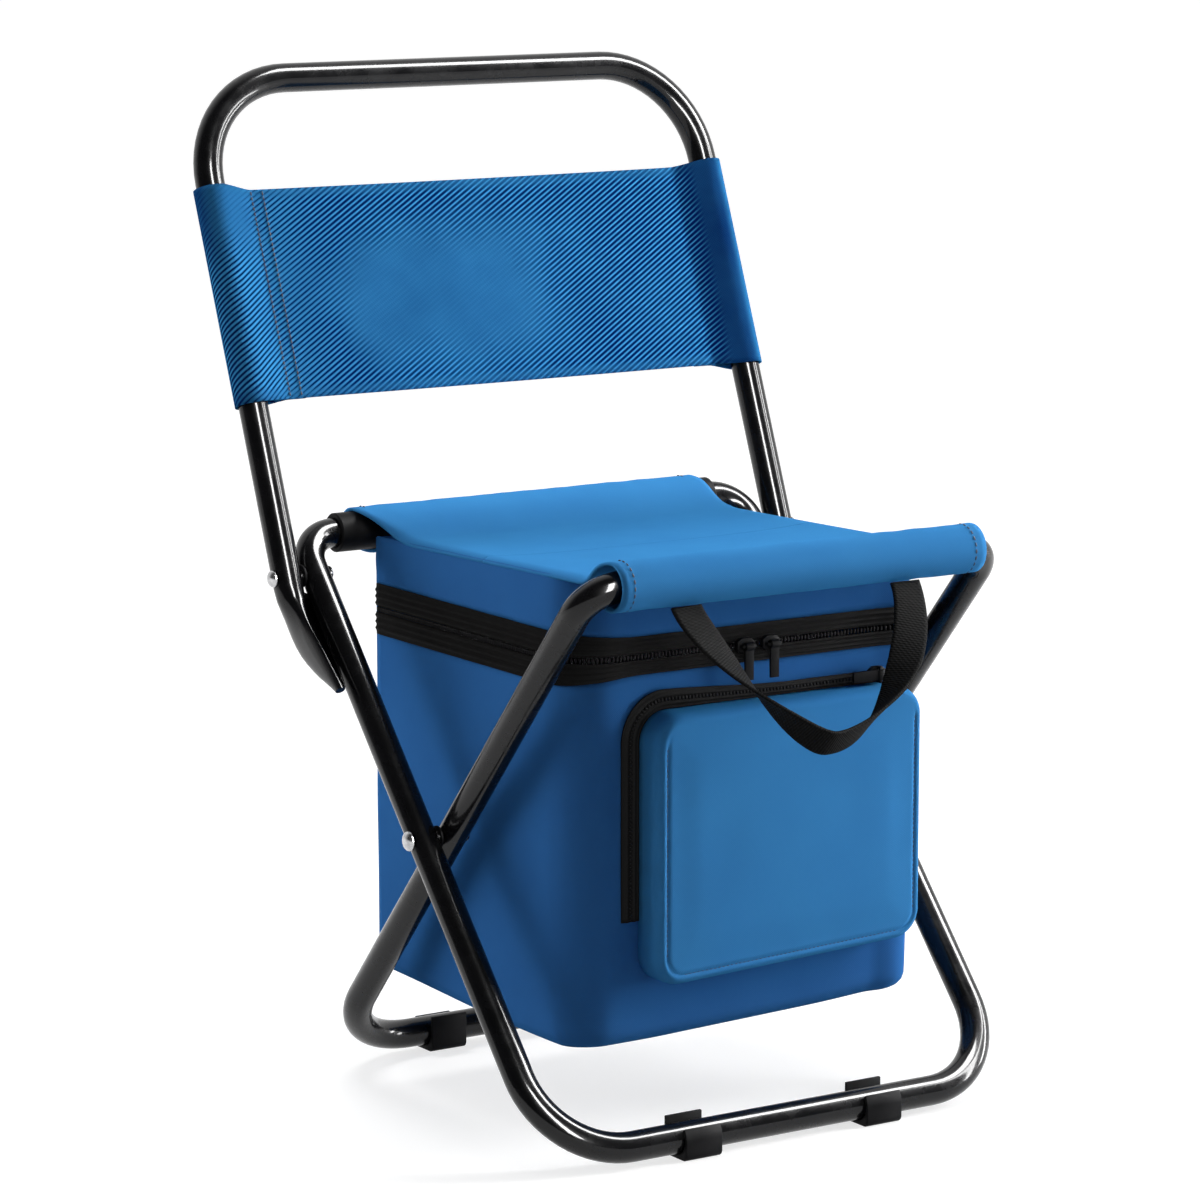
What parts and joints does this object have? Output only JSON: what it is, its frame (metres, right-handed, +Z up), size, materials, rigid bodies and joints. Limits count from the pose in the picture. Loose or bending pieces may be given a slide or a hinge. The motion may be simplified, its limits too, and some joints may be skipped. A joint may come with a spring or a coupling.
{
  "type": "folding cooler stool",
  "caption": "Folding seat on crossed steel tube legs with a cloth backrest, a zipped cooler bag hung under the seat, a front pocket and a carrying strap.",
  "frame": {"origin": "on the ground, in the middle of the stool's outline from above, carrying strap included", "axes": "+X to the right of someone facing the stool's front, -Y towards the front, +Z up"},
  "size_m": [0.3866, 0.4624, 0.6119],
  "materials": {
    "frame_paint": "glossy black paint",
    "rivet_metal": "bright plated",
    "washer_plastic": "matt black",
    "black_plastic": "satin black",
    "blue_cloth": "coated weave",
    "zip_tape": "matt black",
    "webbing": "matt black",
    "foam": "matt white",
    "foil": "foil faced",
    "base_board": "matt grey"
  },
  "bodies": {
    "bag": {"seat_panel": "blue_cloth", "bag_wrap_panel": "blue_cloth", "bag_rear_panel": "blue_cloth", "bag_bottom_panel": "blue_cloth", "bag_lid_skirt": "blue_cloth", "main_zip_lower_tape": "zip_tape", "main_zip_coil": "zip_tape", "main_zip_upper_tape": "zip_tape", "pocket_shell": "blue_cloth", "pocket_zip_tape": "zip_tape", "pocket_zip_coil": "zip_tape", "foam_wrap": "foam", "foam_rear": "foam", "foam_bottom": "foam", "base_board": "base_board", "bag_liner": "foil", "lid_foam": "foam", "lid_liner": "foil"},
    "outer_frame": {"outer_leg_frame": "frame_paint", "rear_bar_sleeve": "black_plastic", "leg_pivot_rivet_left": "rivet_metal", "leg_pivot_rivet_right": "rivet_metal", "leg_pivot_washer_left": "washer_plastic", "leg_pivot_washer_right": "washer_plastic", "back_pivot_rivet_left": "rivet_metal", "back_pivot_rivet_right": "rivet_metal", "back_pivot_washer_left": "washer_plastic", "back_pivot_washer_right": "washer_plastic", "foot_clip_front_left": "black_plastic", "foot_clip_front_right": "black_plastic", "seat_rear_hem": "blue_cloth"},
    "inner_frame": {"inner_leg_frame": "frame_paint", "front_bar_sleeve": "black_plastic", "foot_clip_rear_left": "black_plastic", "foot_clip_rear_right": "black_plastic", "seat_front_hem": "blue_cloth"},
    "backrest": {"backrest_frame": "frame_paint", "backrest_sling": "blue_cloth"},
    "handle": {"carry_strap": "webbing"},
    "zip_slider_left": {"main_zip_slider_left": "black_plastic"},
    "zip_pull_left": {"main_zip_pull_left": "black_plastic"},
    "zip_slider_right": {"main_zip_slider_right": "black_plastic"},
    "zip_pull_right": {"main_zip_pull_right": "black_plastic"},
    "pocket_slider": {"pocket_zip_slider": "black_plastic"},
    "pocket_pull": {"pocket_zip_pull": "black_plastic"}
  },
  "joints": [
    {"name": "outer_fold", "type": "hinge", "parent": "bag", "child": "outer_frame", "pos_m": [0, -0.01419, 0.17203], "axis": [1, 0, 0], "range_deg": [0, 33]},
    {"name": "inner_fold", "type": "hinge", "parent": "bag", "child": "inner_frame", "pos_m": [0, -0.01419, 0.17203], "axis": [1, 0, 0], "range_deg": [-33, 0]},
    {"name": "back_fold", "type": "hinge", "parent": "outer_frame", "child": "backrest", "pos_m": [0, 0.10935, 0.31201], "axis": [1, 0, 0], "range_deg": [0, 78]},
    {"name": "strap_swing", "type": "hinge", "parent": "inner_frame", "child": "handle", "pos_m": [-0.0055, -0.17214, 0.3264], "axis": [-1, 0, 0], "range_deg": [0, 85]},
    {"name": "zip_left_slide", "type": "slide", "parent": "bag", "child": "zip_slider_left", "axis": [1, 0, 0], "range_m": [-0.08, 0]},
    {"name": "zip_left_pull_swing", "type": "hinge", "parent": "zip_slider_left", "child": "zip_pull_left", "pos_m": [-0.004, -0.12268, 0.288], "axis": [1, 0, 0], "range_deg": [-150, 0]},
    {"name": "zip_right_slide", "type": "slide", "parent": "bag", "child": "zip_slider_right", "axis": [1, 0, 0], "range_m": [0, 0.07]},
    {"name": "zip_right_pull_swing", "type": "hinge", "parent": "zip_slider_right", "child": "zip_pull_right", "pos_m": [0.014, -0.12268, 0.288], "axis": [1, 0, 0], "range_deg": [-150, 0]},
    {"name": "pocket_zip_slide", "type": "slide", "parent": "bag", "child": "pocket_slider", "axis": [1, 0, 0], "range_m": [-0.14, 0]},
    {"name": "pocket_pull_swing", "type": "hinge", "parent": "pocket_slider", "child": "pocket_pull", "pos_m": [0.09, -0.12428, 0.2618], "axis": [0, 0, -1], "range_deg": [-170, 0]}
  ],
  "couplings": [
    {"joint": "inner_fold", "follows": "outer_fold", "ratio": -1}
  ]
}
